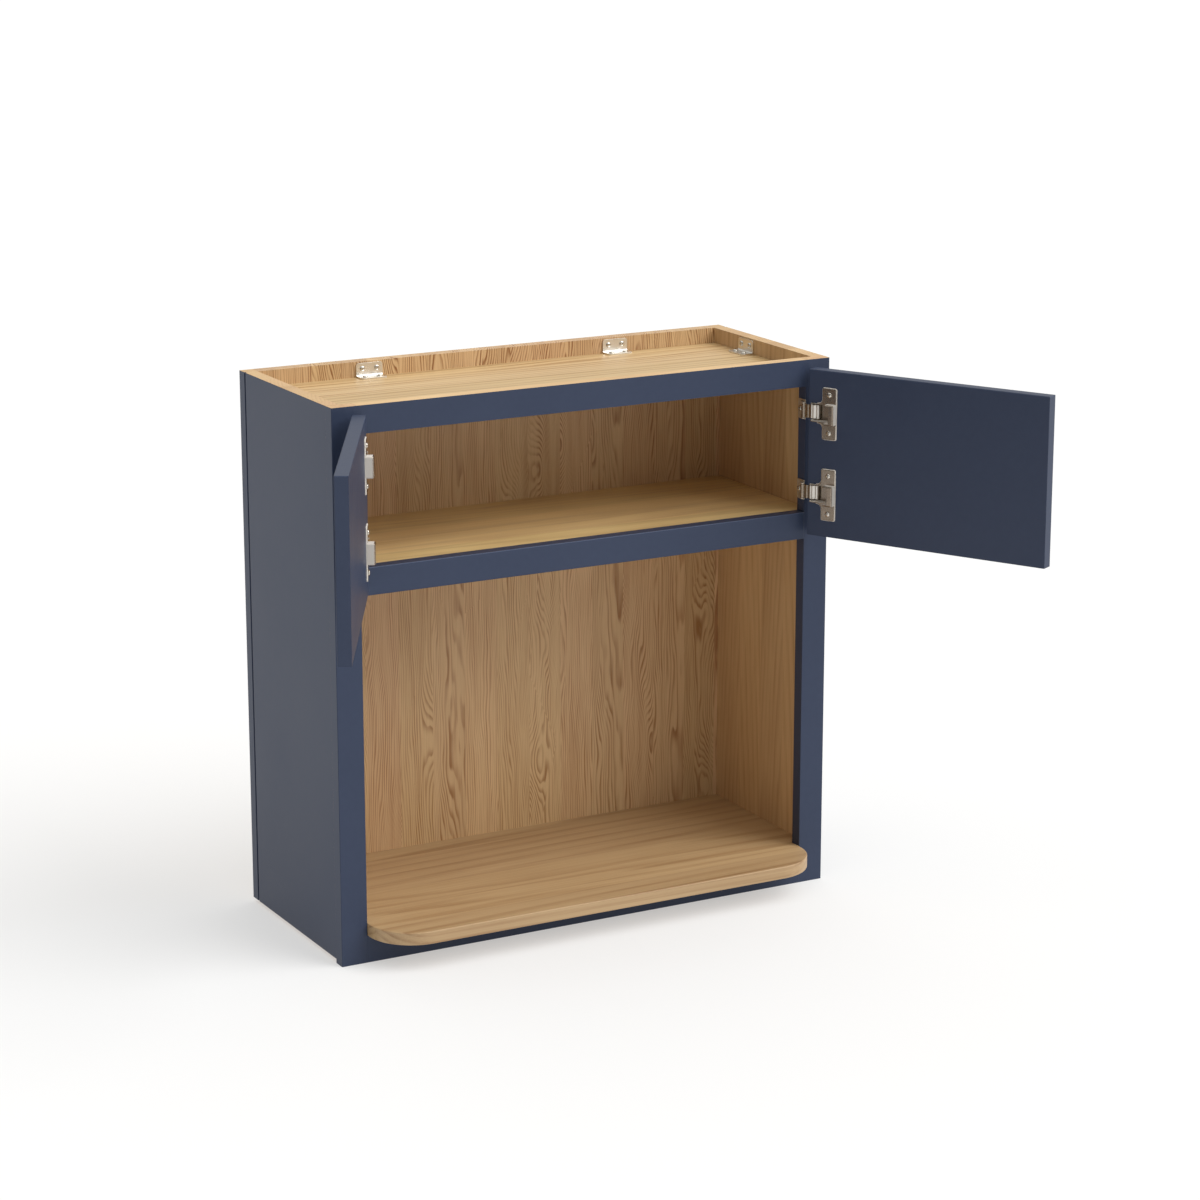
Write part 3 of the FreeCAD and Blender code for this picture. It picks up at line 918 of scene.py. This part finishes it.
@dataclass
class PanScrews:
    """Pan head wood screws with a cross recess, modelled once and set where the CAD screws are."""

    plate: NickelPlate = NickelPlate(
        "bright nickel plated screw steel", "#dad5cc", "#c5bfb5", grain_mm=0.8, roughness=0.18,
    )
    head_d: float = 7.4 * MM
    head_h: float = 2.0 * MM
    rim_h: float = 0.7 * MM
    crown_d: float = 1.8 * MM
    shank_d: float = 3.6 * MM
    tip_share: float = 0.05
    length: float = 11.0 * MM
    recess_span: float = 4.4 * MM
    recess_w: float = 1.1 * MM
    recess_depth: float = 1.3 * MM
    recess_taper: float = 0.45
    dome_steps: int = 5
    sides: int = 32
    smooth_deg: float = 35.0
    first_turn_deg: float = 20.0
    next_turn_deg: float = 37.0
    weld: float = 0.01 * MM

    def model(self) -> bpy.types.Object:
        """Models one screw along +Z with its seat at the origin.

        Returns:
            The screw's object.
        """
        bpy.ops.object.select_all(action="DESELECT")
        bpy.ops.mesh.primitive_cylinder_add(vertices=self.sides, radius=self.head_d / 2, depth=self.rim_h,
                                            location=(0, 0, self.rim_h / 2))
        screw = bpy.context.object
        bpy.ops.object.transform_apply()
        bpy.ops.object.mode_set(mode="EDIT")
        self.draw_dome(screw)
        self.pick_cap(screw, -1)
        bpy.ops.mesh.inset(thickness=(self.head_d - self.shank_d) / 2)
        self.draw_out(-(self.length - self.shank_d / 2), 1.0)
        self.draw_out(-self.shank_d / 2, self.tip_share)
        bpy.ops.object.mode_set(mode="OBJECT")
        for turn in (0.0, math.pi / 2):
            self.cut_recess(screw, turn)
        bpy.ops.object.select_all(action="DESELECT")
        screw.select_set(True)
        bpy.context.view_layer.objects.active = screw
        bpy.ops.object.shade_smooth_by_angle(angle=math.radians(self.smooth_deg))
        return screw

    def draw_dome(self, screw: bpy.types.Object) -> None:
        """Draws the top of the head out to its crown.

        Args:
            screw: The screw's object, in edit mode.
        """
        self.pick_cap(screw, 1)
        radius, level = self.head_d / 2, self.rim_h
        rise, run = self.head_h - self.rim_h, (self.head_d - self.crown_d) / 2
        for step in range(1, self.dome_steps + 1):
            turn = step / self.dome_steps * math.pi / 2
            new_radius = self.crown_d / 2 + run * math.cos(turn)
            new_level = self.rim_h + rise * math.sin(turn)
            self.draw_out(new_level - level, new_radius / radius)
            radius, level = new_radius, new_level

    @staticmethod
    def pick_cap(screw: bpy.types.Object, way: int) -> None:
        """Selects the end face that looks up or down.

        Args:
            screw: An object in edit mode.
            way: 1 for the upper end, and -1 for the lower.
        """
        mesh = bmesh.from_edit_mesh(screw.data)
        cap = max(mesh.faces, key=lambda face: way * face.calc_center_median().z)
        for face in mesh.faces:
            face.select_set(face is cap)
        bmesh.update_edit_mesh(screw.data)

    @staticmethod
    def draw_out(rise: float, scale: float) -> None:
        """Extrudes the selected face along Z and scales it."""
        bpy.ops.mesh.extrude_region_move(TRANSFORM_OT_translate={"value": (0, 0, rise)})
        bpy.ops.transform.resize(value=(scale, scale, 1))

    def cut_recess(self, screw: bpy.types.Object, turn: float) -> None:
        """Cuts one arm pair of the cross into the crown.

        Args:
            screw: The screw's object.
            turn: How far the arms are turned round the screw.
        """
        bpy.ops.object.select_all(action="DESELECT")
        bpy.ops.mesh.primitive_cube_add(size=1, location=(0, 0, self.head_h))
        cutter = bpy.context.object
        cutter.scale = (self.recess_span, self.recess_w, 2 * self.recess_depth)
        cutter.rotation_euler = (0, 0, turn)
        bpy.ops.object.transform_apply()
        bpy.ops.object.mode_set(mode="EDIT")
        self.pick_cap(cutter, -1)
        bpy.ops.transform.resize(value=(self.recess_taper, self.recess_taper, 1))
        bpy.ops.object.mode_set(mode="OBJECT")
        bpy.context.view_layer.objects.active = screw
        cut = screw.modifiers.new("recess", "BOOLEAN")
        cut.operation = "DIFFERENCE"
        cut.object = cutter
        bpy.ops.object.modifier_apply(modifier=cut.name)
        bpy.data.objects.remove(cutter)

    def seats(self, node: str) -> list[Matrix]:
        """Finds where the screws of a CAD node sit.

        Args:
            node: The node, a group of screws.

        Returns:
            A matrix for each screw, with its seat and the direction out of its head.
        """
        mesh = bmesh.new()
        mesh.from_mesh(cad_mesh(node))
        bmesh.ops.remove_doubles(mesh, verts=mesh.verts, dist=self.weld)
        left = set(mesh.verts)
        found = []
        while left:
            group, rim = set(), [min(left, key=lambda vert: vert.index)]
            while rim:
                vert = rim.pop()
                if vert not in group:
                    group.add(vert)
                    rim += [edge.other_vert(vert) for edge in vert.link_edges]
            left -= group
            corners = [vert.co for vert in sorted(group, key=lambda vert: vert.index)]
            middle = sum(corners, Vector()) / len(corners)
            tip = max(corners, key=lambda corner: (corner - middle).length)
            out = (middle - tip).normalized()
            spin_deg = self.first_turn_deg + self.next_turn_deg * len(found)
            spin = Matrix.Rotation(math.radians(spin_deg), 4, "Z")
            turn = out.to_track_quat("Z", "Y").to_matrix().to_4x4()
            found.append(Matrix.Translation(tip + out * self.length) @ turn @ spin)
        mesh.free()
        return found

    def build(self, groups: dict[str, str]) -> None:
        """Sets a modelled screw at every CAD screw.

        Args:
            groups: The body that carries each CAD node of screws.
        """
        material = self.plate.material()
        model = self.model()
        for node, body in groups.items():
            bpy.ops.object.select_all(action="DESELECT")
            for place in self.seats(node):
                copy = bpy.data.objects.new(f"{node}_cross_head", model.data.copy())
                bpy.context.scene.collection.objects.link(copy)
                copy.data.transform(place)
                copy.select_set(True)
                bpy.context.view_layer.objects.active = copy
            bpy.ops.object.join()
            screws = bpy.context.object
            screws.name = f"{node}_cross_head"
            screws.data.materials.clear()
            screws.data.materials.append(material)
            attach(screws, body)
            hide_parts(node)
            LOG.info("%s: rides on %s", screws.name, body)
        bpy.data.objects.remove(model)


@dataclass(frozen=True)
class Studio:
    """Pale floor lit from below, soft white room, one large light and the camera."""

    camera_at: tuple[float, float, float] = (-2.135, -4.244, 0.892)
    camera_turn_deg: float = -28.63
    camera_dip_deg: float = 14.48
    lens_mm: float = 101.5
    sensor_mm: float = 36.0
    sight: float = 400.0
    floor_span: float = 160.0
    floor_colour: str = "#aeaeae"
    floor_roughness: float = 0.9
    floor_light: str = "#ffffff"
    floor_glow: float = 0.45
    room_colour: str = "#fffefb"
    wall_strength: float = 0.17
    ceiling_strength: float = 1.32
    right_gain: float = 0.22
    sun_strength: float = 2.1
    sun_spread_deg: float = 50.0
    sun_turn_deg: float = 47.0
    sun_height_deg: float = 42.0

    def floor(self, level: float) -> None:
        """Lays a sheet of matt acrylic under the cabinet, lit from below so that it stays pale in the shade.

        Args:
            level: The height of the floor.
        """
        bpy.ops.object.select_all(action="DESELECT")
        bpy.ops.mesh.primitive_plane_add(size=self.floor_span, location=(0, 0, level))
        sheet = bpy.context.object
        sheet.name = "studio_floor"
        g = Graph.of("matt white acrylic lit from below")
        look = {"Base Color": linear(self.floor_colour), "Roughness": self.floor_roughness,
                "Specular IOR Level": 0.0, "Emission Color": linear(self.floor_light),
                "Emission Strength": self.floor_glow}
        sheet.data.materials.append(g.finish(look))
        sheet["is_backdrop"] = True

    def light(self) -> None:
        """Sets the white room and the large light at the front right."""
        scene = bpy.context.scene
        scene.view_settings.view_transform = "Standard"
        scene.world = self.room()
        sun = bpy.data.lights.new("large_front_light", "SUN")
        sun.energy = self.sun_strength
        sun.angle = math.radians(self.sun_spread_deg)
        lamp = bpy.data.objects.new("large_front_light", sun)
        scene.collection.objects.link(lamp)
        lamp.rotation_euler = (math.radians(90 - self.sun_height_deg), 0, math.radians(self.sun_turn_deg))

    def room(self) -> bpy.types.World:
        """Makes a white room that is brightest overhead and on the right, as under a wide ceiling of lamps.

        Returns:
            The room, a world.
        """
        world = bpy.data.worlds.new("white room")
        g = Graph(world)
        way = g.add(Node.SPLIT, {0: g.add(Node.COORDINATES, out="Generated")}).node.outputs
        rise = g.add(Node.RANGE, {"Value": way[Axis.HEIGHT.value], "To Min": self.wall_strength,
                                  "To Max": self.ceiling_strength})
        strength = g.sum((way[Axis.WIDTH.value], self.right_gain), (rise, 1.0))
        light = g.add(Node.BACKGROUND, {"Color": linear(self.room_colour), "Strength": strength})
        g.add(Node.WORLD, {"Surface": light})
        return world

    def camera(self) -> None:
        """Stands the camera where the photograph was taken from."""
        lens = bpy.data.cameras.new("camera")
        lens.lens = self.lens_mm
        lens.sensor_width = self.sensor_mm
        lens.clip_end = self.sight
        eye = bpy.data.objects.new("camera", lens)
        bpy.context.scene.collection.objects.link(eye)
        eye.location = self.camera_at
        eye.rotation_euler = (math.radians(90 - self.camera_dip_deg), 0, math.radians(self.camera_turn_deg))
        bpy.context.scene.camera = eye


def main() -> None:
    """Dresses the cabinet and sets the studio round it."""
    logging.basicConfig(level=logging.INFO, format="%(name)s %(message)s")
    cad_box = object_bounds()
    paint = NavyLacquer()
    Carcass(paint).dress()
    FaceFrame(paint).dress()
    Doors(paint).dress()
    Hardware().dress()
    groups = {"bracket_screws": "carcass"}
    for hand in Hand:
        groups[f"{hand.value}_arm_screws"] = "carcass"
        groups[f"{hand.value}_housing_screws"] = f"{hand.value}_door"
    PanScrews().build(groups)
    studio = Studio()
    studio.floor(cad_box[0].z)
    studio.light()
    studio.camera()


if __name__ == "__main__":
    main()
